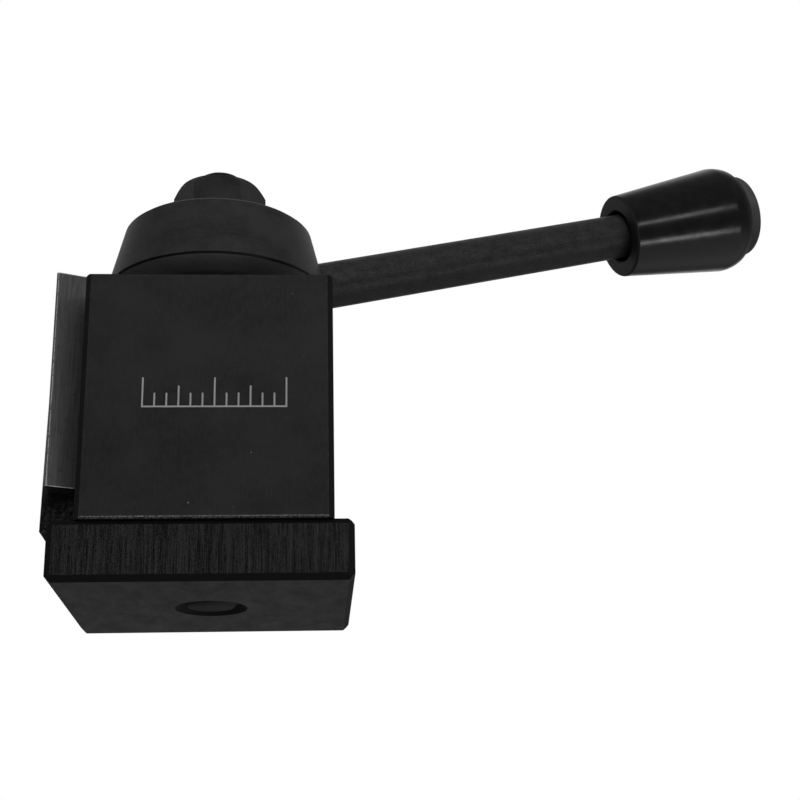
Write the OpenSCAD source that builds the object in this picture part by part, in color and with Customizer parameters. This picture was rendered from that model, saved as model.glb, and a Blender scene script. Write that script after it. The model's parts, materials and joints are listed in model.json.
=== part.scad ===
// Wedge-type quick change tool post for a small lathe.
// Origin: stud axis at the underside of the T-nut. +X is the handle side, +Y the rear, +Z up.
// The handle is in its released position: both wedges stand raised.

/* [Post body] */
// Width of the body between its left and right sides
body_w = 44.5; // [43:0.5:46]
// Depth of the body between its front and rear faces
body_d = 46; // [45:0.5:47]
// Height of the body
body_h = 45.8; // [45:0.1:47]
// Chamfer along the body's upright edges
body_chamfer = 1; // [0.5:0.1:1.2]
// Chamfer along the body's upper and lower edges
body_end_chamfer = 0.25; // [0.2:0.05:1]

/* [T-nut] */
// Width of the T-nut, across the compound slide
tnut_w = 52.4; // [48:0.5:56]
// Depth of the T-nut
tnut_d = 46; // [44:0.1:48]
// Thickness of the T-nut
tnut_h = 10.8; // [10:0.1:12]
// Offset of the T-nut's block from the stud, towards +X
tnut_off = -0.5; // [-1:0.1:1]
// Chamfer along every edge of the T-nut
tnut_chamfer = 1.1; // [0.5:0.1:1.5]
// Mouth radius of the countersink under the tapped hole
countersink_r = 6.6; // [6:0.1:7.5]

/* [Dovetails and wedges] */
// Width of each dovetail where it meets the body
tail_root_w = 24.6; // [24:0.1:25]
// Undercut angle of the dovetail flanks
flank_a = 22; // [18:1:24]
// How far the fixed half of a dovetail stands out
fixed_tail = 7.7; // [7.2:0.1:8]
// How far the wedge stands out
wedge_tail = 6.7; // [6:0.1:6.8]
// Taper angle of the seam between the wedge and the fixed half
taper_a = 4; // [3:0.5:4.5]
// Distance of the seam from the dovetail's middle, at the foot of the body
seam_offset = 10.9; // [10.7:0.1:11]
// Length of a wedge
wedge_len = 41.5; // [40:0.1:42]
// Height of the raised wedges above the foot of the body
wedge_rise = 8.3; // [8:0.1:9]
// Travel of a wedge along its seam
wedge_travel = 6.3; // [5.5:0.1:6.5]

/* [Cam] */
// Turn of the handle from released to clamped
cam_turn = 90; // [80:1:95]
// Outer radius of the cam sleeve
sleeve_r = 12; // [11.8:0.1:12.1]
// Radius of the drive pins
pin_r = 2; // [1.8:0.1:2.1]

/* [Stud and nut] */
// Diameter of the centre stud
stud_d = 10; // [9.6:0.1:10.2]
// Height of the stud end above the nut
stud_proud = 2.6; // [1:0.1:4]
// Width of the nut across its flats
nut_af = 16; // [15:0.5:17]
// Height of the nut
nut_h = 8.4; // [8:0.1:9]
// Outer diameter of the clamp washer
washer_d = 20; // [19:0.5:24]
// Thickness of the clamp washer
washer_t = 2; // [1.6:0.1:2.4]

/* [Handle hub] */
// Radius of the hub at its lower rim
hub_low_r = 21.6; // [21:0.1:22]
// Radius of the hub at its upper rim
hub_top_r = 18.4; // [18.2:0.1:19]
// Height of the lower rim above the body
hub_low_z = 5.05; // [5:0.05:5.2]
// Height of the hub's top above the body
hub_top_z = 18.2; // [17.7:0.1:18.5]
// Radius of the neck under the hub
neck_r = 16.2; // [16:0.1:16.5]
// Height of the neck's underside above the body
neck_z = 3.9; // [3.7:0.1:4]

/* [Handle and knob] */
// Azimuth of the handle, from +X towards +Y
handle_az = 10.6; // [0:0.1:20]
// Rise of the handle above level
handle_el = 15.15; // [14.5:0.05:16]
// Height above the body where the handle's axis crosses the stud axis
handle_z = 4.15; // [4.1:0.05:4.5]
// Radius of the handle rod
rod_r = 4.7; // [4.5:0.05:4.7]
// Distance of the knob's small end along the handle's axis
knob_start = 89.6; // [80:0.1:100]
// Length of the knob, with its raised end disc
knob_len = 30.9; // [29:0.1:32]
// Radius of the knob's small end
knob_small_r = 8.8; // [8.6:0.1:9.2]
// Largest radius of the knob
knob_big_r = 11.4; // [11:0.1:12]

/* [Hidden] */
$fn = 96;

// General
fit_gap = 0.05;              // gap of a flat sliding fit
run_gap = 0.08;              // radial gap of a running fit
far = 100;                   // longer than any piece

// Heights
body_z = tnut_h;
body_top = body_z + body_h;
floor_t = 6;                 // solid floor of the body, which the bushing stands on
floor_top = body_z + floor_t;
hub_top = body_top + hub_top_z;
washer_z = hub_top + 0.1;    // the bushing holds the clamp washer just clear of the hub
nut_z = washer_z + washer_t;
stud_top = nut_z + nut_h + stud_proud;
stud_low = 0.3;              // the stud ends just inside the countersink

// Centre
stud_r = stud_d / 2;
bushing_r = 8;
bushing_bore_r = stud_r + run_gap;
sleeve_bore_r = bushing_r + run_gap;
cavity_r = sleeve_r + run_gap;
thrust_t = 1;                // lower thrust washer
cap_t = 0.6;                 // upper thrust washer
sleeve_low = floor_top + thrust_t + fit_gap;
sleeve_top = body_top + 8;
boss_r = 14.2;               // the hub's boss inside its neck

// Stations: each dovetail is drawn with +X outwards and its wedge half towards +Y
side_face = body_w / 2;
rear_face = body_d / 2;
side_turn = 180;
rear_turn = 90;
tail_half = tail_root_w / 2;
seam_in = seam_offset * cos(taper_a);
wedge_low = body_z + wedge_rise;
tongue_top = body_top - 0.5;

// Wedge tongue: a neck through the face, and a head plate behind it
tongue_neck_t = 4.6;
tongue_neck_w = 3;
tongue_head_t = 3.8;
tongue_head_low = -4.6;
tongue_head_high = seam_in + 4.5;

// Drive pins and the cam grooves
side_pin_z = body_z + 31;
rear_pin_z = body_z + 21;
pin_tip = 9.7;               // distance of a pin's inner end from the stud axis
groove_gap = 0.25;
groove_steps = 15;
pin_swing = wedge_travel * sin(taper_a) / 2;
pin_slot_r = pin_r + pin_swing + 0.3;

// Drag plug, its spring and its screw, on the right-hand side
drag_z = body_z + 23;
drag_bore_r = 2.1;
drag_screw_r = 3;
drag_screw_len = 4.5;
drag_screw_x = side_face - 0.3 - drag_screw_len;
drag_plug_x = sleeve_r + 0.04;
drag_plug_len = 2.4;
spring_wire_r = 0.25;
spring_turns = 4;

// Handle
spigot_r = 3.5;
spigot_start = 13.8;
rod_start = 20.2;
rod_end = knob_start + 7.5;
insert_start = knob_start + 8;
insert_len = 17;
insert_r = 5.3;
insert_bore_r = 4;
rod_tip = insert_start + insert_len - 1;
knob_mouth_r = 5.55;
lock_screw_r = 2.5;
lock_screw_at = 15.1;        // its distance from the stud axis
lock_screw_low = body_top + handle_z + lock_screw_at * tan(handle_el) + spigot_r / cos(handle_el);

// ---------------------------------------------------------------- shared shapes

// Turns a station's outward direction to the left side or to the rear
module side_station() { rotate([0, 0, side_turn]) children(); }
module rear_station() { rotate([0, 0, rear_turn]) children(); }

// Leans its children along the seam, about the foot of the body
module slanted() { translate([0, 0, body_z]) rotate([taper_a, 0, 0]) children(); }

// Lays its children along the handle's axis, starting on the stud axis
module along_handle() {
    translate([0, 0, body_top + handle_z])
        rotate([0, 0, handle_az]) rotate([0, 90 - handle_el, 0]) children();
}

module from_x(x) { translate([x, 0, 0]) rotate([0, 90, 0]) children(); }

module tube(outer, inner, low, high) {
    difference() {
        translate([0, 0, low]) cylinder(r = outer, h = high - low);
        translate([0, 0, low - 1]) cylinder(r = inner, h = high - low + 2);
    }
}

// Outline of a rectangle of half sizes a and b, with its corners cut at 45 degrees
function cut_corners(a, b, cut) = [
    [cut - a, -b], [a - cut, -b], [a, cut - b], [a, b - cut],
    [a - cut, b], [cut - a, b], [-a, b - cut], [-a, cut - b]
];

// Block standing on z = 0, with its upright edges chamfered by one width and the others by another
module chamfered_block(w, d, h, upright, ends) {
    translate([0, 0, h / 2]) intersection() {
        linear_extrude(h, center = true) polygon(cut_corners(w / 2, d / 2, upright));
        rotate([90, 0, 0]) linear_extrude(d, center = true)
            polygon(cut_corners(w / 2, h / 2, ends));
        rotate([90, 0, 90]) linear_extrude(w, center = true)
            polygon(cut_corners(d / 2, h / 2, ends));
    }
}

// Set screw along +Z, with a hexagon socket in its far end
module set_screw(r, len, socket_af) {
    socket_deep = len * 0.5;
    bevel = r * 0.15;
    difference() {
        rotate_extrude() polygon([
            [0, 0], [r - bevel, 0], [r, bevel], [r, len - bevel], [r - bevel, len], [0, len]
        ]);
        translate([0, 0, len - socket_deep])
            cylinder(r = socket_af / sqrt(3), h = socket_deep + 1, $fn = 6);
    }
}

// ---------------------------------------------------------------- base

module t_nut() {
    color("#2b2b2c") difference() {
        translate([tnut_off, 0, 0])
            chamfered_block(tnut_w, tnut_d, tnut_h, tnut_chamfer, tnut_chamfer);
        translate([0, 0, -1]) cylinder(r = stud_r, h = tnut_h + 2);
        sink = countersink_r - stud_r;
        rotate_extrude() polygon([
            [0, -sink], [countersink_r + sink, -sink], [stud_r, sink], [0, sink]
        ]);
    }
}

module centre_stud() {
    bevel = 0.8;
    color("#333334") rotate_extrude() polygon([
        [0, stud_low], [stud_r - bevel, stud_low], [stud_r, stud_low + bevel],
        [stud_r, stud_top - bevel], [stud_r - bevel, stud_top], [0, stud_top]
    ]);
}

// ---------------------------------------------------------------- post

// The half of a dovetail that is one with the body
module fixed_tail_half(face) {
    tip = face + fixed_tail;
    lip = 0.5;
    lean = tan(flank_a);
    intersection() {
        difference() {
            translate([0, 0, body_z]) linear_extrude(body_h) polygon([
                [face - 1, -tail_half],
                [face, -tail_half],
                [tip - lip, -tail_half - (fixed_tail - lip) * lean],
                [tip, -tail_half - (fixed_tail - lip) * lean + lip],
                [tip, far], [face - 1, far]
            ]);
            slanted() translate([face - 2, seam_in, -far]) cube([far, 2 * far, 3 * far]);
        }
        // side outline: a bevel at the foot and another at the top
        rotate([90, 0, 0]) linear_extrude(2 * far, center = true) polygon([
            [face - 1, body_z], [tip - 0.8, body_z], [tip, body_z + 1],
            [tip, body_top - 1], [tip - 1, body_top], [face - 1, body_top]
        ]);
    }
}

// T-shaped slot for a wedge's tongue and the way through for its drive pin
module wedge_pocket(face, pin_z) {
    neck_in = face - tongue_neck_t;
    head_in = neck_in - tongue_head_t - 2 * fit_gap;
    pocket_low = wedge_low - wedge_travel - 0.5;
    intersection() {
        slanted() union() {
            translate([neck_in - 1, seam_in, -far])
                cube([tongue_neck_t + 2, tongue_neck_w + 2 * fit_gap, 3 * far]);
            translate([head_in, tongue_head_low - fit_gap, -far])
                cube([tongue_head_t + 2 * fit_gap,
                      tongue_head_high - tongue_head_low + 2 * fit_gap, 3 * far]);
        }
        translate([0, -far / 2, pocket_low]) cube(far);
    }
    translate([sleeve_r - 2, -pin_slot_r, pin_z - wedge_travel - pin_slot_r])
        cube([head_in - sleeve_r + 3, 2 * pin_slot_r, far]);
}

module post_body() {
    color("#242425") difference() {
        union() {
            translate([0, 0, body_z])
                chamfered_block(body_w, body_d, body_h, body_chamfer, body_end_chamfer);
            side_station() fixed_tail_half(side_face);
            rear_station() fixed_tail_half(rear_face);
        }
        translate([0, 0, body_z - 1]) cylinder(r = stud_r + run_gap, h = far);
        translate([0, 0, floor_top]) cylinder(r = cavity_r, h = far);
        side_station() wedge_pocket(side_face, side_pin_z);
        rear_station() wedge_pocket(rear_face, rear_pin_z);
        translate([0, 0, drag_z]) from_x(sleeve_r - 2) cylinder(r = drag_bore_r, h = far);
        translate([0, 0, drag_z]) from_x(drag_screw_x - 0.2) cylinder(r = drag_screw_r, h = far);
    }
}

module centre_bushing() {
    color("#8d8f92") tube(bushing_r, bushing_bore_r, floor_top, washer_z);
}

module lower_thrust_washer() {
    color("#a07a3c") tube(sleeve_r - 0.1, sleeve_bore_r, floor_top, floor_top + thrust_t);
}

module upper_thrust_washer() {
    color("#a07a3c") tube(boss_r, cavity_r, body_top, body_top + cap_t);
}

module drag_plug() {
    nose = 0.3;
    color("#b08a48") translate([0, 0, drag_z]) from_x(drag_plug_x) rotate_extrude() polygon([
        [0, 0], [drag_bore_r - 0.05 - nose, 0], [drag_bore_r - 0.05, nose],
        [drag_bore_r - 0.05, drag_plug_len], [0, drag_plug_len]
    ]);
}

// One point of a coil's wire: t runs along the coil, u round the wire
function coil_point(t, u, r, pitch) = [
    (r + spring_wire_r * cos(u)) * cos(t),
    (r + spring_wire_r * cos(u)) * sin(t),
    pitch * t / 360 + spring_wire_r * sin(u)
];

module drag_spring() {
    coil_r = 1.6;
    start = drag_plug_x + drag_plug_len + spring_wire_r + 0.03;
    pitch = (drag_screw_x - spring_wire_r - 0.03 - start) / spring_turns;
    sides = 8;
    rings = 16 * spring_turns;
    points = [
        for (i = [0 : rings], j = [0 : sides - 1])
            coil_point(360 * spring_turns * i / rings, 360 * j / sides, coil_r, pitch)
    ];
    skin = [
        for (i = [0 : rings - 1], j = [0 : sides - 1])
            let (a = i * sides + j, b = i * sides + (j + 1) % sides)
                [a, a + sides, b + sides, b]
    ];
    ends = [
        [for (j = [0 : sides - 1]) j],
        [for (j = [sides - 1 : -1 : 0]) rings * sides + j]
    ];
    color("#9a9ca0") translate([0, 0, drag_z]) from_x(start)
        polyhedron(points, concat(skin, ends), convexity = 6);
}

module drag_screw() {
    color("#1d1d1e") translate([0, 0, drag_z])
        from_x(drag_screw_x) set_screw(drag_screw_r, drag_screw_len, 3);
}

// ---------------------------------------------------------------- handle

// A drive pin along a station's outward direction, from the groove into the wedge's tongue
module pin_shape(face, pin_z, r, tip) {
    translate([0, -pin_swing, pin_z]) from_x(tip)
        cylinder(r = r, h = face - tongue_neck_t - fit_gap - tip);
}

// The space that a drive pin sweeps in the cam sleeve: the handle turns clockwise,
// so in the sleeve's frame the pin goes the other way while it sinks along its seam
module groove(face, pin_z, station_turn) {
    for (i = [0 : groove_steps]) {
        share = i / groove_steps;
        sunk = share * wedge_travel;
        rotate([0, 0, station_turn + share * cam_turn])
            translate([0, sunk * sin(taper_a), -sunk * cos(taper_a)])
                pin_shape(face, pin_z, pin_r + groove_gap, pin_tip - 0.2);
    }
}

module cam_sleeve() {
    color("#6f7174") difference() {
        tube(sleeve_r, sleeve_bore_r, sleeve_low, sleeve_top);
        groove(side_face, side_pin_z, side_turn);
        groove(rear_face, rear_pin_z, rear_turn);
        dowels(sleeve_top + 1);
    }
}

// Three dowels on the joint between the sleeve and the hub
module dowels(top) {
    low = body_top + 2;
    for (a = [40 : 120 : 280])
        rotate([0, 0, handle_az + a]) translate([sleeve_r, 0, low]) cylinder(r = 1.25, h = top - low);
}

module hub_dowels() { color("#9a9ca0") dowels(sleeve_top - 0.2); }

module handle_hub() {
    rim = 0.5;
    wall = (hub_low_r - hub_top_r) / (hub_top_z - hub_low_z);
    color("#29292a") difference() {
        translate([0, 0, body_top]) rotate_extrude() polygon([
            [0, cap_t + fit_gap], [boss_r, cap_t + fit_gap], [boss_r, neck_z], [neck_r, neck_z],
            [hub_low_r - rim * 0.6, hub_low_z - 0.1], [hub_low_r, hub_low_z + rim * 0.6],
            [hub_top_r + wall * rim, hub_top_z - rim], [hub_top_r - rim, hub_top_z],
            [0, hub_top_z]
        ]);
        translate([0, 0, body_top - 1]) cylinder(r = sleeve_bore_r, h = far);
        translate([0, 0, body_top - 1]) cylinder(r = sleeve_r, h = sleeve_top - body_top + 1);
        dowels(sleeve_top + 0.4);
        along_handle() {
            translate([0, 0, spigot_start]) cylinder(r = spigot_r, h = far);
            translate([0, 0, rod_start]) cylinder(r = rod_r, h = far);
        }
        lock_screw_way();
    }
}

module lock_screw_way() {
    rotate([0, 0, handle_az]) translate([lock_screw_at, 0, lock_screw_low - lock_screw_r])
        cylinder(r = lock_screw_r, h = far);
}

module rod_lock_screw() {
    color("#1d1d1e") rotate([0, 0, handle_az])
        translate([lock_screw_at, 0, lock_screw_low + 0.8])
            set_screw(lock_screw_r, hub_top - 0.4 - lock_screw_low - 0.8, 2.5);
}

module handle_rod() {
    bevel = 0.4;
    color("#2d2d2e") along_handle() rotate_extrude() polygon([
        [0, spigot_start], [spigot_r, spigot_start], [spigot_r, rod_start], [rod_r, rod_start],
        [rod_r, rod_end - bevel], [rod_r - bevel, rod_end], [insert_bore_r, rod_end],
        [insert_bore_r, rod_tip - bevel], [insert_bore_r - bevel, rod_tip], [0, rod_tip]
    ]);
}

// Knob outline from its mouth to the raised disc on its big end
module handle_knob() {
    big_end = 23.5;          // where the taper ends
    round_len = 4.4;         // length of the rounded shoulder
    shoulder_r = 9.2;
    disc_r = 8.8;
    steps = 8;
    shoulder = [
        for (i = [0 : steps])
            let (a = 90 * i / steps)
                [shoulder_r + (knob_big_r - shoulder_r) * cos(a),
                 big_end + round_len * sin(a)]
    ];
    color("#151515") along_handle() translate([0, 0, knob_start]) difference() {
        rotate_extrude() polygon(concat(
            [[0, 0], [knob_small_r - 0.5, 0], [knob_small_r, 0.5]],
            shoulder,
            [[disc_r + 0.1, big_end + round_len], [disc_r, knob_len - 1.6],
             [disc_r, knob_len - 0.8], [disc_r - 0.6, knob_len], [0, knob_len]]
        ));
        translate([0, 0, -1]) cylinder(r = knob_mouth_r, h = insert_start - knob_start + 1);
        translate([0, 0, -1]) cylinder(r = insert_r, h = insert_start - knob_start + insert_len + 1);
    }
}

module knob_insert() {
    color("#b08a48") along_handle()
        tube(insert_r, insert_bore_r, insert_start, insert_start + insert_len);
}

// ---------------------------------------------------------------- wedges

// Distance of a wedge's undercut flank from the dovetail's middle, at a distance from the face
function flank_y(out) = tail_half + out * tan(flank_a);

// The part of a wedge that the tool holder bears on, outside the face of the body
module wedge_foot(face) {
    lip = 0.4;
    intersection() {
        slanted() translate([face - 1, seam_in + fit_gap, -far]) cube([far, far, 3 * far]);
        translate([0, 0, wedge_low]) linear_extrude(wedge_len) polygon([
            [face + fit_gap, -far], [face + wedge_tail, -far],
            [face + wedge_tail, flank_y(wedge_tail - lip) - lip],
            [face + wedge_tail - lip, flank_y(wedge_tail - lip)],
            [face + fit_gap, flank_y(fit_gap)]
        ]);
    }
}

// The T-shaped tongue behind the foot; no ledge of it shows in front of the flank
module wedge_tongue(face) {
    neck_in = face - tongue_neck_t;
    intersection() {
        slanted() union() {
            translate([neck_in - 1, seam_in + fit_gap, -far])
                cube([tongue_neck_t + 2, tongue_neck_w, 3 * far]);
            translate([neck_in - fit_gap - tongue_head_t, tongue_head_low, -far])
                cube([tongue_head_t, tongue_head_high - tongue_head_low, 3 * far]);
        }
        translate([0, 0, wedge_low]) linear_extrude(tongue_top - wedge_low) polygon([
            [0, -far], [face + 2, -far], [face + 2, flank_y(2)],
            [face + fit_gap, flank_y(fit_gap)], [face + fit_gap, far], [0, far]
        ]);
    }
}

module wedge(face, pin_z) {
    difference() {
        union() {
            wedge_foot(face);
            wedge_tongue(face);
        }
        pin_shape(face, pin_z, pin_r, pin_tip - 1);
    }
}

module side_wedge() { color("#77787a") side_station() wedge(side_face, side_pin_z); }
module rear_wedge() { color("#77787a") rear_station() wedge(rear_face, rear_pin_z); }

module side_drive_pin() {
    color("#9a9ca0") side_station() pin_shape(side_face, side_pin_z, pin_r, pin_tip);
}

module rear_drive_pin() {
    color("#9a9ca0") rear_station() pin_shape(rear_face, rear_pin_z, pin_r, pin_tip);
}

// ---------------------------------------------------------------- clamp

module clamp_washer() {
    color("#343436") tube(washer_d / 2, stud_r + run_gap, washer_z, nut_z);
}

// Hexagon nut with its upper and lower corners turned down
module clamp_nut() {
    corner_r = nut_af / sqrt(3);
    face_r = nut_af / 2;
    cut = 0.8;
    color("#2f2f30") difference() {
        intersection() {
            translate([0, 0, nut_z]) cylinder(r = corner_r, h = nut_h, $fn = 6);
            translate([0, 0, nut_z]) rotate_extrude() polygon([
                [0, 0], [face_r, 0], [corner_r + 0.2, cut], [corner_r + 0.2, nut_h - 2 * cut],
                [face_r, nut_h], [0, nut_h]
            ]);
        }
        translate([0, 0, nut_z - 1]) cylinder(r = stud_r + 0.02, h = nut_h + 2);
    }
}

t_nut();
centre_stud();
post_body();
centre_bushing();
lower_thrust_washer();
upper_thrust_washer();
drag_plug();
drag_spring();
drag_screw();
cam_sleeve();
hub_dowels();
handle_hub();
rod_lock_screw();
handle_rod();
handle_knob();
knob_insert();
side_wedge();
side_drive_pin();
rear_wedge();
rear_drive_pin();
clamp_washer();
clamp_nut();
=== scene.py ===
import json
import math

import bmesh
import bpy
from mathutils import Matrix, Vector


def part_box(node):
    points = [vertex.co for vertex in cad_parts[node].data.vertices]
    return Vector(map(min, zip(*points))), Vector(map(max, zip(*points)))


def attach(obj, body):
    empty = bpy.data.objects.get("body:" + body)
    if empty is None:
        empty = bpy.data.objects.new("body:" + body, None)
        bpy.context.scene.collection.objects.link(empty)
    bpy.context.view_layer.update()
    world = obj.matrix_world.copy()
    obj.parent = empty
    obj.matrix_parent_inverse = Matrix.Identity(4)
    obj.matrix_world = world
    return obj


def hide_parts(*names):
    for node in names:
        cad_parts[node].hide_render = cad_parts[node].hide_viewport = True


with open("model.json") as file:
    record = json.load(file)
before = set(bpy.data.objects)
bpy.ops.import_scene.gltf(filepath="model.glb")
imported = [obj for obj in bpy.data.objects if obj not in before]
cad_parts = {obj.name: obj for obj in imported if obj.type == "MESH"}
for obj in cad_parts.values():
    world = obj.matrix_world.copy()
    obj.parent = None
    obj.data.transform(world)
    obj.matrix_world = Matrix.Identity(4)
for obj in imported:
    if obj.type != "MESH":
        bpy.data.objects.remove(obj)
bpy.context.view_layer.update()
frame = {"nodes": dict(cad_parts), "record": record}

MM = 0.001
nodes = frame["nodes"]
scene = bpy.context.scene
scene.view_settings.view_transform = "Standard"


# ---------------------------------------------------------------- places, from the frame

def middle(node):
    low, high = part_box(node)
    return (low + high) / 2


body_low, body_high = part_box("post_body")
stud_low, stud_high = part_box("centre_stud")
tnut_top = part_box("t_nut")[1].z
hub_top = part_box("handle_hub")[1].z
washer_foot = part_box("clamp_washer")[0].z


# ---------------------------------------------------------------- camera

CAMERA_AT = Vector((17.2, -263.0, -56.2)) * MM
CAMERA_YAW = math.radians(3.996)     # turned right of straight back
CAMERA_PITCH = math.radians(20.158)  # looking up at the post
CAMERA_ROLL = math.radians(1.478)
LENS_MM = 65.09
SENSOR_MM = 36.0
NEAREST_SEEN = 10 * MM


def add_camera():
    forward = Vector((
        math.sin(CAMERA_YAW) * math.cos(CAMERA_PITCH),
        math.cos(CAMERA_YAW) * math.cos(CAMERA_PITCH),
        math.sin(CAMERA_PITCH),
    ))
    right = Vector((math.cos(CAMERA_YAW), -math.sin(CAMERA_YAW), 0))
    down = forward.cross(right)
    rolled_right = math.cos(CAMERA_ROLL) * right + math.sin(CAMERA_ROLL) * down
    rolled_up = math.sin(CAMERA_ROLL) * right - math.cos(CAMERA_ROLL) * down
    turn = Matrix((rolled_right, rolled_up, -forward)).transposed().to_4x4()
    data = bpy.data.cameras.new("camera")
    data.lens = LENS_MM
    data.sensor_width = SENSOR_MM
    data.clip_start = NEAREST_SEEN
    camera = bpy.data.objects.new("camera", data)
    camera.matrix_world = Matrix.Translation(CAMERA_AT) @ turn
    scene.collection.objects.link(camera)
    scene.camera = camera


add_camera()


# ---------------------------------------------------------------- node helpers

def grey(value, warm=0.0):
    """A linear grey; warm is the share that red gains and blue loses."""
    return (value * (1 + warm), value, value * (1 - warm), 1.0)


class NodeTree:
    """Short ways to add nodes. What goes into one is a number, a colour or another node's output."""

    def __init__(self, tree):
        self.tree = tree

    def node(self, kind, inputs=(), **settings):
        made = self.tree.nodes.new(kind)
        for key, value in settings.items():
            setattr(made, key, value)
        for key, value in dict(inputs).items():
            self.put(made.inputs[key], value)
        return made

    def put(self, socket, value):
        if isinstance(value, bpy.types.NodeSocket):
            self.tree.links.new(value, socket)
        else:
            socket.default_value = value

    def math(self, operation, a, b=0.0):
        return self.node("ShaderNodeMath", {0: a, 1: b}, operation=operation).outputs[0]

    def plus(self, a, b):
        return self.math("ADD", a, b)

    def times(self, first, *others):
        for other in others:
            first = self.math("MULTIPLY", first, other)
        return first

    def most(self, first, *others):
        for other in others:
            first = self.math("MAXIMUM", first, other)
        return first

    def size(self, value):
        return self.math("ABSOLUTE", value)

    def vector(self, operation, a, b):
        return self.node("ShaderNodeVectorMath", {0: a, 1: b}, operation=operation).outputs["Vector"]

    def dot(self, a, b):
        return self.node("ShaderNodeVectorMath", {0: a, 1: b}, operation="DOT_PRODUCT").outputs["Value"]

    def span(self, value, low, high, to_low=0.0, to_high=1.0, curve="LINEAR"):
        """Maps low..high to to_low..to_high, held at the ends. Low may be the higher of the two."""
        made = self.node("ShaderNodeMapRange", {
            "Value": value, "From Min": low, "From Max": high,
            "To Min": to_low, "To Max": to_high,
        }, interpolation_type=curve)
        return made.outputs["Result"]

    def noise(self, vector, scale, detail, rough=0.5):
        made = self.node("ShaderNodeTexNoise", {
            "Vector": vector, "Scale": scale, "Detail": detail, "Roughness": rough,
        })
        return made.outputs["Fac"]

    def mix(self, share, a, b):
        """a where the share is 0, b where it is 1; both are colours."""
        return self.node("ShaderNodeMix", {"Factor": share, 6: a, 7: b}, data_type="RGBA").outputs[2]

    def grey_mix(self, share, low, high):
        return self.mix(share, grey(low), grey(high))


class Shader(NodeTree):
    """A material, with its coordinates in millimetres of the row frame."""

    def __init__(self, name):
        self.material = bpy.data.materials.new(name)
        self.material.use_nodes = True
        super().__init__(self.material.node_tree)
        self.bsdf = self.tree.nodes["Principled BSDF"]
        place = self.node("ShaderNodeTexCoord")
        to_mm = {0: place.outputs["Object"], "Scale": 1 / MM}
        self.mm = self.node("ShaderNodeVectorMath", to_mm, operation="SCALE").outputs["Vector"]
        self.normal = place.outputs["Normal"]

    def stretched(self, factors):
        return self.vector("MULTIPLY", self.mm, factors)

    def cells(self, scale):
        """Distance from the nearest of many scattered points, for round specks."""
        return self.node("ShaderNodeTexVoronoi", {"Vector": self.mm, "Scale": scale}).outputs["Distance"]

    def along(self, axis):
        """The place along an axis of the frame, in millimetres."""
        return self.node("ShaderNodeSeparateXYZ", {0: self.mm}).outputs[axis]

    def facing(self, axis):
        """1 where the surface looks along an axis of the frame, -1 where it looks against it."""
        return self.node("ShaderNodeSeparateXYZ", {0: self.normal}).outputs[axis]

    def slanted(self):
        """1 on chamfers and slopes, 0 on faces square to an axis of the frame."""
        sizes = [self.size(self.facing(axis)) for axis in "XYZ"]
        return self.span(self.most(*sizes), 0.94, 0.86)

    def edges(self, radius_mm, low, high):
        """1 on sharp edges, fading to 0 within the radius; low and high set how sharp they must be."""
        rounded = self.node("ShaderNodeBevel", {"Radius": radius_mm * MM}, samples=6).outputs[0]
        flat = self.node("ShaderNodeNewGeometry").outputs["Normal"]
        return self.span(self.math("SUBTRACT", 1.0, self.dot(rounded, flat)), low, high)

    def bump(self, height, depth_mm):
        made = self.node("ShaderNodeBump", {"Height": height, "Distance": depth_mm * MM, "Strength": 1.0})
        return made.outputs["Normal"]

    def finish(self, **sockets):
        for key, value in sockets.items():
            self.put(self.bsdf.inputs[key.replace("_", " ")], value)
        return self.material


# ---------------------------------------------------------------- the handle's axis

def handle_axis():
    """A point on the handle's axis and its direction, from the end rings of the knob's insert."""
    points = [v.co for v in nodes["knob_insert"].data.vertices]
    rough = (middle("handle_knob") - middle("handle_hub")).normalized()
    reach = [p.dot(rough) for p in points]
    end_zone = 1 * MM
    near = [p for p, r in zip(points, reach) if r < min(reach) + end_zone]
    far = [p for p, r in zip(points, reach) if r > max(reach) - end_zone]
    direction = sum(far, Vector()) / len(far) - sum(near, Vector()) / len(near)
    return middle("knob_insert"), direction.normalized()


AXIS_POINT, AXIS = handle_axis()


def turned_sizes(node):
    """(distance along the handle's axis, radius) of each vertex of a node turned about it."""
    sizes = []
    for vertex in nodes[node].data.vertices:
        offset = vertex.co - AXIS_POINT
        run = offset.dot(AXIS)
        sizes.append((run, (offset - run * AXIS).length))
    return sizes


# ---------------------------------------------------------------- materials

# The materials work in millimetres. Greys are linear, and the two numbers after a pattern in span() say
# where it starts to show and where it shows in full.

# The body's foot, top and faces. Its left face stands as far from the stud axis as its right one.
FOOT = body_low.z / MM
TOP = body_high.z / MM
RIGHT = body_high.x / MM
LEFT = -RIGHT
HUB_TOP = hub_top / MM

# How far along the handle's axis, from the frame's origin, the grip and its end disc begin
DISC_THICK = 2.9 * MM
knob_runs = [AXIS_POINT.dot(AXIS) + run for run, _ in turned_sizes("handle_knob")]
MOUTH = min(knob_runs) / MM
DISC = (max(knob_runs) - DISC_THICK) / MM


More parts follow.
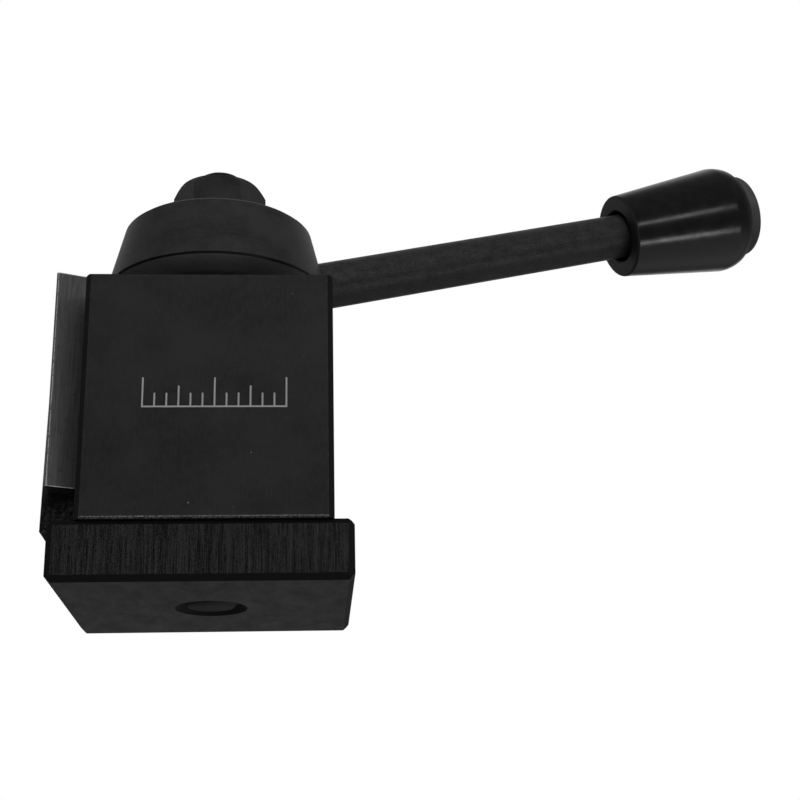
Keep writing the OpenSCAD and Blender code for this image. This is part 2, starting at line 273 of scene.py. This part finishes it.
def black_oxide():
    """Finely ground steel, blackened: faint mottling, pin-prick specks, rubbed edges, chamfers darkened
    with painted shade, and a rough recess painted near black as painted shade.
    """
    s = Shader("black_oxide")
    broad = s.noise(s.mm, scale=0.1, detail=5, rough=0.65)
    fine = s.noise(s.stretched((1.0, 1.0, 0.3)), scale=2.4, detail=5, rough=0.65)
    ragged = s.noise(s.mm, scale=2.4, detail=5, rough=0.7)
    burr = s.noise(s.mm, scale=1.4, detail=6, rough=0.75)

    specks = s.span(s.cells(0.36), 0.05, 0.035)
    specks = s.times(specks, s.span(s.noise(s.mm, scale=0.45, detail=2), 0.54, 0.6))
    rub = s.times(s.edges(radius_mm=0.22, low=0.015, high=0.06), s.span(ragged, 0.46, 0.62))
    # The burred lower edge, short of the body's upright corners
    foot = s.times(s.span(s.along("Z"), FOOT + 0.5, FOOT + 0.35),
                   s.span(s.noise(s.mm, scale=4.0, detail=3, rough=0.7), 0.44, 0.56, to_low=0.05),
                   s.span(s.size(s.along("X")), RIGHT - 0.8, RIGHT - 1.2))
    wear = s.most(foot, s.times(rub, 0.3))
    # The rough recess low on the fixed half of the left dovetail, but not the face that looks left. Its
    # near-black tone is painted shade; its specks and bumps are real roughness.
    recess = s.times(s.span(s.along("X"), LEFT - 0.05, LEFT - 0.25),
                     s.span(s.along("Z"), FOOT + 9, FOOT + 6),
                     s.span(s.facing("X"), -0.97, -0.9))

    tone = s.grey_mix(s.span(broad, 0.36, 0.64), 0.0105, 0.0175)
    tone = s.mix(s.span(fine, 0.42, 0.7, to_high=0.7), tone, grey(0.023))
    # Painted shade: chamfers and slopes are painted near black
    tone = s.mix(s.times(s.slanted(), 0.8), tone, grey(0.003))
    tone = s.mix(s.most(specks, wear), tone, grey(0.17))
    # Painted shade: the recess is painted near black, with faint lighter specks
    tone = s.mix(recess, tone, s.grey_mix(s.span(burr, 0.45, 0.7), 0.002, 0.03))
    rough = s.span(s.plus(broad, fine), 0.7, 1.3, to_low=0.36, to_high=0.5)
    rough = s.mix(s.most(recess, s.slanted()), rough, grey(0.8))
    height = s.plus(fine, s.times(recess, s.times(burr, 8.0)))
    return s.finish(Base_Color=tone, Roughness=rough, Normal=s.bump(height, 0.004),
                    Metallic=0.0, Specular_IOR_Level=0.35)


def black_milled():
    """Milled steel, blackened: upright cutter lines on the sides, a smeared sheen on level faces."""
    s = Shader("black_milled")
    upward = s.size(s.facing("Z"))
    level = s.span(upward, 0.85, 0.95)
    slope = s.span(upward, 0.3, 0.5)
    lines = s.noise(s.stretched((1.0, 1.0, 0.014)), scale=10.0, detail=4, rough=0.8)
    coarse = s.noise(s.stretched((1.0, 1.0, 0.02)), scale=1.6, detail=3, rough=0.6)
    nicks = s.noise(s.stretched((1.0, 1.0, 0.22)), scale=2.6, detail=4, rough=0.7)
    grain = s.noise(s.mm, scale=4.5, detail=3, rough=0.7)
    smear = s.noise(s.stretched((1.0, 0.5, 1.0)), scale=0.2, detail=8, rough=0.72)

    pattern = s.plus(s.times(lines, 0.6), s.times(coarse, 0.2))
    pattern = s.plus(pattern, s.times(grain, 0.2))
    scratched = s.times(s.span(nicks, 0.63, 0.72), s.span(s.along("X"), 4.0, 22.0, to_low=0.25))
    wear = s.times(s.edges(radius_mm=0.3, low=0.015, high=0.08),
                   s.span(s.noise(s.mm, scale=2.2, detail=4), 0.52, 0.7))

    side_tone = s.grey_mix(s.span(pattern, 0.46, 0.54), 0.0, 0.022)
    side_tone = s.mix(s.times(scratched, 0.4), side_tone, grey(0.11))
    # Painted shade: chamfers and slopes are painted near black
    side_tone = s.mix(s.most(slope, s.slanted()), side_tone, grey(0.002))
    low_tone = s.grey_mix(s.span(smear, 0.38, 0.62), 0.002, 0.021)
    tone = s.mix(level, side_tone, low_tone)
    tone = s.mix(s.times(wear, 0.3), tone, grey(0.12))
    rough = s.mix(level, s.grey_mix(s.span(pattern, 0.4, 0.6), 0.6, 0.42),
                  s.grey_mix(s.span(smear, 0.35, 0.65), 0.46, 0.33))
    rough = s.mix(s.slanted(), rough, grey(0.8))
    height = s.times(pattern, s.math("SUBTRACT", 1.0, slope))
    return s.finish(Base_Color=tone, Roughness=rough, Normal=s.bump(height, 0.03),
                    Metallic=0.0, Specular_IOR_Level=0.4)


def black_turned():
    """Turned steel, blackened: fine rings about the stud axis, a rubbed top rim, faces that look down
    darkened with painted shade, and a level underside painted pale as painted light.
    """
    s = Shader("black_turned")
    across, depth, height = s.along("X"), s.along("Y"), s.along("Z")
    radius = s.math("SQRT", s.plus(s.math("POWER", across, 2.0), s.math("POWER", depth, 2.0)))
    rings = s.node("ShaderNodeCombineXYZ", {
        "X": s.times(radius, 2.4), "Y": s.times(height, 2.4), "Z": s.times(across, 0.05),
    }).outputs[0]
    turned = s.noise(rings, scale=2.0, detail=4, rough=0.6)
    broad = s.noise(s.mm, scale=0.16, detail=5, rough=0.65)
    fine = s.noise(s.mm, scale=1.8, detail=4, rough=0.7)
    # Worn bright around the hub's top edge only
    wear = s.times(s.edges(radius_mm=0.3, low=0.02, high=0.15),
                   s.span(s.noise(s.mm, scale=1.6, detail=3), 0.3, 0.55),
                   s.span(height, HUB_TOP - 1.5, HUB_TOP - 0.8),
                   s.span(height, HUB_TOP + 3.0, HUB_TOP + 2.5))

    tone = s.grey_mix(s.span(broad, 0.36, 0.64), 0.012, 0.024)
    tone = s.mix(s.span(turned, 0.4, 0.7, to_high=0.4), tone, grey(0.03))
    tone = s.mix(s.span(fine, 0.5, 0.75, to_high=0.5), tone, grey(0.033))
    # Painted shade: faces that look down are painted near black
    tone = s.mix(s.span(s.facing("Z"), -0.1, -0.3), tone, grey(0.003))
    # Painted light: the level underside is painted pale, standing in for light that reaches it from below
    painted_pale_underside = s.grey_mix(s.span(broad, 0.3, 0.7), 0.34, 0.46)
    tone = s.mix(s.span(s.facing("Z"), -0.85, -0.95), tone, painted_pale_underside)
    tone = s.mix(s.times(wear, 0.5), tone, grey(0.2))
    rough = s.span(s.plus(turned, broad), 0.7, 1.3, to_low=0.48, to_high=0.62)
    above_hub = s.span(height, HUB_TOP, HUB_TOP + 0.1)
    rough = s.mix(above_hub, rough, grey(0.66))
    return s.finish(Base_Color=tone, Roughness=rough, Normal=s.bump(turned, 0.005),
                    Metallic=0.0, Specular_IOR_Level=0.4)


def black_thread():
    """Rolled thread, blackened and oily, with a sawn end."""
    s = Shader("black_thread")
    grime = s.noise(s.mm, scale=1.3, detail=5, rough=0.7)
    sawn = s.noise(s.stretched((0.1, 1.0, 1.0)), scale=3.0, detail=3, rough=0.6)
    end = s.span(s.size(s.facing("Z")), 0.9, 0.97)
    tone = s.grey_mix(s.span(grime, 0.35, 0.65), 0.002, 0.010)
    tone = s.mix(end, tone, s.grey_mix(s.span(s.times(sawn, grime), 0.16, 0.34), 0.001, 0.014))
    rough = s.span(grime, 0.3, 0.7, to_low=0.4, to_high=0.6)
    return s.finish(Base_Color=tone, Roughness=rough, Normal=s.bump(sawn, 0.01),
                    Metallic=0.0, Specular_IOR_Level=0.3)


def black_rod():
    """Drawn rod, blackened and scuffed lengthwise, with pale rubbed patches."""
    s = Shader("black_rod")
    turn = AXIS.rotation_difference(Vector((1, 0, 0))).to_euler()
    lying = s.node("ShaderNodeVectorRotate", {"Vector": s.mm, "Rotation": turn},
                   rotation_type="EULER_XYZ").outputs[0]

    def streaked(stretch, scale, detail, rough):
        return s.noise(s.vector("MULTIPLY", lying, (stretch, 1.0, 1.0)), scale, detail, rough)

    lengthwise = streaked(0.22, scale=1.5, detail=6, rough=0.7)
    scratches = s.span(streaked(0.5, scale=3.6, detail=5, rough=0.85), 0.56, 0.66)
    flecks = streaked(0.6, scale=5.5, detail=3, rough=0.7)
    patches = s.noise(lying, scale=0.35, detail=5, rough=0.65)

    tone = s.grey_mix(s.span(patches, 0.35, 0.65), 0.010, 0.026)
    tone = s.mix(s.span(lengthwise, 0.45, 0.7, to_high=0.5), tone, grey(0.034, warm=0.03))
    tone = s.mix(s.times(scratches, 0.5), tone, grey(0.08, warm=0.03))
    tone = s.mix(s.span(flecks, 0.52, 0.66, to_high=0.6), tone, grey(0.05, warm=0.02))
    tone = s.mix(s.span(flecks, 0.48, 0.34, to_high=0.7), tone, grey(0.004))
    rough = s.span(s.plus(patches, lengthwise), 0.7, 1.3, to_low=0.5, to_high=0.38)
    return s.finish(Base_Color=tone, Roughness=rough, Normal=s.bump(lengthwise, 0.02),
                    Metallic=0.0, Specular_IOR_Level=0.35)


def ground_steel():
    """Bare ground steel of the wedges: streaks along the slide, oily stains, burred edges."""
    s = Shader("ground_steel")
    streaks = s.noise(s.stretched((1.0, 1.0, 0.04)), scale=3.6, detail=5, rough=0.7)
    broad = s.noise(s.stretched((0.6, 0.6, 0.14)), scale=0.8, detail=3, rough=0.5)
    grime = s.noise(s.mm, scale=1.1, detail=5, rough=0.7)
    burr = s.noise(s.mm, scale=2.6, detail=4, rough=0.7)
    wear = s.times(s.edges(radius_mm=0.35, low=0.01, high=0.08), s.span(burr, 0.4, 0.5))

    tone = s.grey_mix(s.span(streaks, 0.35, 0.65), 0.13, 0.25)
    tone = s.mix(s.span(broad, 0.4, 0.75, to_high=0.5), tone, grey(0.22, warm=0.02))
    tone = s.mix(s.times(s.span(grime, 0.55, 0.7), 0.55), tone, grey(0.09, warm=0.04))
    # Painted shade: towards the top, the tone is pulled a little towards a darker grey
    painted_darker_top = s.span(s.along("Z"), FOOT + 22, TOP, to_high=0.2)
    tone = s.mix(painted_darker_top, tone, grey(0.15))
    tone = s.mix(s.times(wear, 0.8), tone, grey(0.75))
    rough = s.span(streaks, 0.3, 0.7, to_low=0.5, to_high=0.36)
    return s.finish(Base_Color=tone, Roughness=rough, Normal=s.bump(streaks, 0.01),
                    Metallic=s.span(wear, 0.0, 1.0, to_low=0.85, to_high=0.2))


def bare_metal(name, low, high, warm, roughness):
    """Turned uncoated metal, for the pieces inside."""
    s = Shader(name)
    lines = s.noise(s.stretched((0.15, 0.15, 1.0)), scale=3.0, detail=4, rough=0.6)
    stain = s.noise(s.mm, scale=0.5, detail=4, rough=0.6)
    tone = s.mix(s.span(lines, 0.35, 0.65), grey(low, warm), grey(high, warm))
    tone = s.mix(s.span(stain, 0.5, 0.8, to_high=0.4), tone, grey(low * 0.6, warm))
    rough = s.span(stain, 0.3, 0.7, to_low=roughness - 0.06, to_high=roughness + 0.08)
    return s.finish(Base_Color=tone, Roughness=rough, Normal=s.bump(lines, 0.006),
                    Metallic=1.0)


def black_phenolic():
    """Moulded glossy black plastic, faintly rippled and dusty, with a paler disc and a dull mouth."""
    s = Shader("black_phenolic")
    run = s.dot(s.mm, AXIS)
    ripple = s.noise(s.mm, scale=0.45, detail=2, rough=0.4)
    hair = s.noise(s.stretched((0.2, 1.0, 1.0)), scale=5.0, detail=3, rough=0.6)
    dust = s.times(s.span(s.cells(1.1), 0.07, 0.04),
                   s.span(s.noise(s.mm, scale=0.7, detail=2), 0.55, 0.65))
    disc = s.span(run, DISC - 0.2, DISC)
    shoulder = s.span(run, DISC - 2.2, DISC - 1.2)
    mouth = s.span(run, MOUTH + 0.5, MOUTH + 0.3)

    tone = s.grey_mix(s.span(ripple, 0.3, 0.7), 0.003, 0.006)
    tone = s.mix(s.times(dust, 0.5), tone, grey(0.1))
    tone = s.mix(disc, tone, s.grey_mix(s.span(ripple, 0.3, 0.7), 0.045, 0.06))
    tone = s.mix(mouth, tone, grey(0.012))
    rough = s.span(s.plus(hair, ripple), 0.7, 1.3, to_low=0.17, to_high=0.25)
    rough = s.mix(shoulder, rough, grey(0.6))
    rough = s.mix(mouth, rough, grey(0.7))
    return s.finish(Base_Color=tone, Roughness=rough, Normal=s.bump(ripple, 0.02),
                    Metallic=0.0, Specular_IOR_Level=0.5)


def etched():
    """Frosted laser etching in the blackened face."""
    s = Shader("etched")
    grain = s.noise(s.mm, scale=9.0, detail=3, rough=0.7)
    tone = s.grey_mix(s.span(grain, 0.3, 0.7), 0.2, 0.38)
    rough = s.span(grain, 0.3, 0.7, to_low=0.55, to_high=0.8)
    return s.finish(Base_Color=tone, Roughness=rough, Normal=s.bump(grain, 0.006), Metallic=0.0)


MATERIALS = {
    "black_oxide_steel": black_oxide(),
    "black_milled_steel": black_milled(),
    "black_turned_steel": black_turned(),
    "black_rod_steel": black_rod(),
    "ground_steel": ground_steel(),
    "hardened_steel": bare_metal("hardened_steel", 0.26, 0.36, warm=0.01, roughness=0.34),
    "bright_steel": bare_metal("bright_steel", 0.45, 0.6, warm=0.0, roughness=0.26),
    "bronze": bare_metal("bronze", 0.3, 0.42, warm=0.35, roughness=0.36),
    "brass": bare_metal("brass", 0.42, 0.58, warm=0.3, roughness=0.28),
    "black_phenolic": black_phenolic(),
}


def paint(obj, material):
    obj.data.materials.clear()
    obj.data.materials.append(material)


for part in frame["record"]["subparts"]:
    paint(nodes[part["node"]], MATERIALS[part["material_slot"]])


# ---------------------------------------------------------------- softened edges of the CAD pieces

EDGE_ANGLE = math.radians(28)  # edges that turn by more than this are softened
SOFT_EDGES = {
    "post_body": 0.12 * MM,
    "t_nut": 0.15 * MM,
    "side_wedge": 0.12 * MM,
    "rear_wedge": 0.12 * MM,
    "clamp_nut": 0.1 * MM,
    "clamp_washer": 0.12 * MM,
}


def soften(node, width):
    bevel = nodes[node].modifiers.new("soft_edges", "BEVEL")
    bevel.width = width
    bevel.segments = 2
    bevel.limit_method = "ANGLE"
    bevel.angle_limit = EDGE_ANGLE
    bevel.harden_normals = True


for name, width in SOFT_EDGES.items():
    soften(name, width)


# ---------------------------------------------------------------- new pieces

def mesh_object(name, verts, faces, smooth=True):
    mesh = bpy.data.meshes.new(name)
    mesh.from_pydata([tuple(v) for v in verts], [], faces)
    mesh.validate()
    for polygon in mesh.polygons:
        polygon.use_smooth = smooth
    made = bpy.data.objects.new(name, mesh)
    scene.collection.objects.link(made)
    return made


def add_piece(obj, body, slot, replaced=(), material=None):
    paint(obj, material or MATERIALS[slot])
    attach(obj, body)
    if replaced:
        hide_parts(*replaced)
    return obj


def ring(radius, height, segments):
    turns = [2 * math.pi * k / segments for k in range(segments)]
    return [(radius * math.cos(turn), radius * math.sin(turn), height) for turn in turns]


def ring_faces(rings, segments):
    """Faces of that many rings of vertices, closed by a vertex on the axis before and one after them."""
    faces = []
    for k in range(segments):
        after = (k + 1) % segments
        faces.append((0, 1 + after, 1 + k))
        for below in range(rings - 1):
            a = 1 + below * segments
            b = a + segments
            faces.append((a + k, a + after, b + after, b + k))
        top = 1 + (rings - 1) * segments
        faces.append((top + k, top + after, 1 + rings * segments))
    return faces


def arc(centre_r, centre_h, radius_r, radius_h, start, end, steps):
    """Points of an elliptic arc in (radius, height), angles in degrees from the radial direction."""
    points = []
    for k in range(steps + 1):
        angle = math.radians(start + (end - start) * k / steps)
        points.append((centre_r + radius_r * math.cos(angle), centre_h + radius_h * math.sin(angle)))
    return points


def mark_sharp_edges(obj, degrees):
    """Smooth shading, but sharp across edges steeper than the angle."""
    mesh = bmesh.new()
    mesh.from_mesh(obj.data)
    bmesh.ops.recalc_face_normals(mesh, faces=mesh.faces)
    for edge in mesh.edges:
        sharp = len(edge.link_faces) == 2 and edge.calc_face_angle(0) > math.radians(degrees)
        edge.smooth = not sharp
    mesh.to_mesh(obj.data)
    mesh.free()


# ---------------------------------------------------------------- the stud and its threads

PITCH = 1.5 * MM
ROWS_PER_TURN = 10
STUD_SEGMENTS = 64


def thread_rows(low, high):
    count = round((high - low) / PITCH * ROWS_PER_TURN)
    return [low + (high - low) * k / count for k in range(count + 1)]


def threaded_stud():
    """The stud with threads at both ends and a plain shank between them."""
    crest = (stud_high.x - stud_low.x) / 2
    root = crest - 0.92 * MM
    shank = crest - 0.1 * MM
    chamfer = 0.8 * MM
    flank_slope = 2.6
    crest_flat = 0.15
    shank_low = tnut_top + 1.5 * MM
    shank_high = washer_foot - 6 * MM
    hair = 1e-6

    heights = thread_rows(stud_low.z, shank_low) + thread_rows(shank_high, stud_high.z)
    verts = [(0, 0, heights[0])]
    for height in heights:
        plain = shank_low - hair < height < shank_high + hair
        outermost = crest - max(0, chamfer - min(height - stud_low.z, stud_high.z - height))
        for k in range(STUD_SEGMENTS):
            turn = k / STUD_SEGMENTS
            phase = (height / PITCH - turn) % 1.0
            depth = min(1.0, max(0.0, abs(phase - 0.5) * flank_slope - crest_flat))
            radius = shank if plain else min(outermost, crest - (crest - root) * depth)
            angle = 2 * math.pi * turn
            verts.append((radius * math.cos(angle), radius * math.sin(angle), height))
    verts.append((0, 0, heights[-1]))
    stud = mesh_object("threaded_stud", verts, ring_faces(len(heights), STUD_SEGMENTS))
    mark_sharp_edges(stud, degrees=50)
    return stud


add_piece(threaded_stud(), "base", "black_turned_steel", ["centre_stud"], black_thread())


# ---------------------------------------------------------------- the grip

TAPER_SHARE = 0.7605     # of the grip's length, from its mouth to the end of the cone
SHOULDER_SHARE = 0.1424  # of the grip's length, from there to the groove
GROOVE_SHARE = 0.807     # radius at the groove, as a share of the largest
KNOB_SEGMENTS = 128


def moulded_knob():
    """A long cone, a rounded shoulder, a fine groove and the raised end disc."""
    sizes = turned_sizes("handle_knob")
    start = min(run for run, _ in sizes)
    length = max(run for run, _ in sizes) - start
    mouth_zone = 0.7 * MM
    disc_zone = 1.6 * MM
    near_mouth = [radius for run, radius in sizes if run < start + mouth_zone]
    near_end = [radius for run, radius in sizes if run > start + length - disc_zone]
    insert = turned_sizes("knob_insert")
    insert_low = min(run for run, _ in insert) - start
    insert_high = max(run for run, _ in insert) - start

    biggest = max(radius for _, radius in sizes)
    mouth, small = min(near_mouth), max(near_mouth)
    disc = max(near_end)
    insert_r = max(radius for _, radius in insert)
    taper_end = length * TAPER_SHARE
    groove = taper_end + length * SHOULDER_SHARE
    groove_r = biggest * GROOVE_SHARE
    lip = 0.4 * MM
    corner = 0.5 * MM
    rim = 0.9 * MM

    profile = [(insert_r, insert_high), (insert_r, insert_low), (mouth, insert_low), (mouth, lip)]
    profile += arc(mouth + lip, lip, lip, lip, 180, 270, 4)[1:]
    profile += arc(small - corner, corner, corner, corner, -90, 0, 6)
    profile += arc(groove_r, taper_end, biggest - groove_r, groove - taper_end, 0, 90, 24)
    # The groove: a sharp corner, its bottom and the foot of the disc
    profile.append((disc + 0.05 * MM, groove + 0.02 * MM))
    profile.append((disc - 0.12 * MM, groove + 0.3 * MM))
    profile.append((disc, groove + 0.6 * MM))
    profile += arc(disc - rim, length - rim, rim, rim, 0, 90, 10)
    verts = [(0, 0, insert_high)]
    for radius, height in profile:
        verts += ring(radius, height, KNOB_SEGMENTS)
    verts.append((0, 0, length))
    knob = mesh_object("moulded_knob", verts, ring_faces(len(profile), KNOB_SEGMENTS))
    turn = AXIS.to_track_quat("Z", "Y").to_matrix().to_4x4()
    knob.data.transform(Matrix.Translation(AXIS_POINT + AXIS * start) @ turn)
    mark_sharp_edges(knob, degrees=32)
    return knob


add_piece(moulded_knob(), "handle", "black_phenolic", ["handle_knob"])


# ---------------------------------------------------------------- the etched scale

SCALE_WIDTH = 25.5 * MM
SCALE_MIDDLE = 1.3 * MM          # right of the stud axis
SCALE_BELOW_TOP = 25.75 * MM     # its base line, below the body's top
TALL_TICK = 5.6 * MM
MIDDLE_TICK = TALL_TICK * 0.72
SHORT_TICK = TALL_TICK * 0.48
LINE = 0.3 * MM
PROUD = 0.012 * MM
SUNK = 0.048 * MM
DIVISIONS = 12


def tick_height(k):
    """Tall at the ends and in the middle, middling at the quarters."""
    if k % 6 == 0:
        return TALL_TICK
    return MIDDLE_TICK if k % 3 == 0 else SHORT_TICK


def etched_scale():
    """A plain graduated scale with no digits, on the front face where the photograph has a marking."""
    left = SCALE_MIDDLE - SCALE_WIDTH / 2
    foot = body_high.z - SCALE_BELOW_TOP
    outline = [(0, 0), (SCALE_WIDTH, 0)]
    for k in range(DIVISIONS, -1, -1):
        tick = (SCALE_WIDTH - LINE) * k / DIVISIONS
        if k < DIVISIONS:
            outline.append((tick + LINE, LINE))
        outline += [(tick + LINE, tick_height(k)), (tick, tick_height(k))]
        if k > 0:
            outline.append((tick, LINE))
    count = len(outline)
    verts = [(left + x, y, foot + z) for y in (body_low.y - PROUD, body_low.y + SUNK) for x, z in outline]
    faces = [tuple(range(count)), tuple(range(2 * count - 1, count - 1, -1))]
    for k in range(count):
        after = (k + 1) % count
        faces.append((k, k + count, after + count, after))
    return mesh_object("etched_scale", verts, faces, smooth=False)


add_piece(etched_scale(), "post", "black_oxide_steel", material=etched())


# ---------------------------------------------------------------- floor

FLOOR_REACH = 12.0     # metres from the middle to a side
FLOOR_DROP = 0.3 * MM  # below the T-nut
NEAR_GLOW = 0.45       # of full white, up to 100 mm from the middle; it is full from 1400 mm on


def pale_floor():
    """Pale, brighter with distance so that no horizon shows, and see-through from beneath."""
    s = Shader("pale_floor")
    grain = s.noise(s.mm, scale=0.02, detail=3, rough=0.5)
    away = s.node("ShaderNodeVectorMath", {0: s.mm}, operation="LENGTH").outputs["Value"]
    s.finish(Base_Color=s.grey_mix(s.span(grain, 0.3, 0.7), 0.78, 0.8), Roughness=0.8,
             Emission_Color=grey(1.0), Emission_Strength=s.span(away, 100, 1400, to_low=NEAR_GLOW))
    either = s.node("ShaderNodeMixShader", {
        0: s.node("ShaderNodeNewGeometry").outputs["Backfacing"],
        1: s.bsdf.outputs[0],
        2: s.node("ShaderNodeBsdfTransparent").outputs[0],
    })
    s.put(s.tree.nodes["Material Output"].inputs["Surface"], either.outputs[0])
    return s.material


def add_floor():
    """A floor for the camera only: the post gets no light, reflection or shadow from it."""
    corners = ((-1, -1), (1, -1), (1, 1), (-1, 1))
    verts = [(x * FLOOR_REACH, y * FLOOR_REACH, -FLOOR_DROP) for x, y in corners]
    floor = mesh_object("floor", verts, [(0, 1, 2, 3)], smooth=False)
    paint(floor, pale_floor())
    floor.visible_diffuse = False
    floor.visible_glossy = False
    floor.visible_transmission = False
    floor.visible_shadow = False


add_floor()


# ---------------------------------------------------------------- light and surroundings

FILL = 0.11       # light from every side
BACK_GLOW = 0.6   # added behind and above
LOW_GLOW = 0.01   # added behind, at any height
RIGHT_GLOW = 0.3  # added below and to the right, which the underside of the grip mirrors
RIGHT_BELOW = Vector((0.55, 0.2, -0.81))

# Distances and sizes of the lights are in metres
STRIP_DISTANCE = 0.9
SOFT_DISTANCE = 1.2
SOFT_SIZE = (0.7, 0.6)

# Name, direction seen from the grip, size and watts. They draw the two highlights on the grip.
STRIPS = (
    ("strip_high", (0.465, -0.88, 0.088), (0.26, 0.08), 0.26),
    ("strip_low", (0.594, -0.505, -0.625), (0.26, 0.1), 0.42),
)

# Name, direction seen from the body and watts. The first is the main light, high and a little to the
# right, so that chamfers that face down or left stay dark. The others light the rear and the right side.
SOFT_BOXES = (
    ("soft_front", (0.1, -0.82, 0.54), 12.0),
    ("soft_rear", (-0.55, 0.72, 0.42), 11.0),
    ("soft_side", (0.75, 0.6, 0.35), 6.0),
)


def add_world():
    """White to the camera; the light itself comes mostly from behind the post."""
    world = bpy.data.worlds.new("studio")
    scene.world = world
    world.use_nodes = True
    world.node_tree.nodes.clear()
    w = NodeTree(world.node_tree)
    direction = w.node("ShaderNodeTexCoord").outputs["Generated"]
    split = w.node("ShaderNodeSeparateXYZ", {0: direction})
    behind = w.span(split.outputs["Y"], 0.1, 0.9, curve="SMOOTHSTEP")
    above = w.span(split.outputs["Z"], -0.15, 0.2, curve="SMOOTHSTEP")
    toward_right = w.dot(direction, RIGHT_BELOW)
    right_glow = w.span(toward_right, 0.6, 1.0, to_high=RIGHT_GLOW, curve="SMOOTHSTEP")
    back_glow = w.plus(w.times(behind, above, BACK_GLOW), w.times(behind, LOW_GLOW))
    strength = w.plus(back_glow, w.plus(right_glow, FILL))
    either = w.node("ShaderNodeMixShader", {
        0: w.node("ShaderNodeLightPath").outputs["Is Camera Ray"],
        1: w.node("ShaderNodeBackground", {"Color": grey(1.0), "Strength": strength}).outputs[0],
        2: w.node("ShaderNodeBackground", {"Color": grey(1.0)}).outputs[0],
    })
    w.node("ShaderNodeOutputWorld", {"Surface": either.outputs[0]})


def add_area(name, target, toward, distance, size, watts, along=Vector((1, 0, 0))):
    """A lit rectangle at that distance from the target, facing it, its long side nearest to along."""
    data = bpy.data.lights.new(name, "AREA")
    data.shape = "RECTANGLE"
    data.size, data.size_y = size
    data.energy = watts
    light = bpy.data.objects.new(name, data)
    back = Vector(toward).normalized()
    side = (along - along.dot(back) * back).normalized()
    turn = Matrix((side, back.cross(side), back)).transposed().to_4x4()
    light.matrix_world = Matrix.Translation(target + back * distance) @ turn
    scene.collection.objects.link(light)
    return light


add_world()

for name, toward, size, watts in STRIPS:
    strip = add_area(name, middle("handle_knob"), toward, STRIP_DISTANCE, size, watts, AXIS)
    strip.visible_diffuse = False

for name, toward, watts in SOFT_BOXES:
    box = add_area(name, middle("post_body"), toward, SOFT_DISTANCE, SOFT_SIZE, watts)
    box.visible_glossy = False
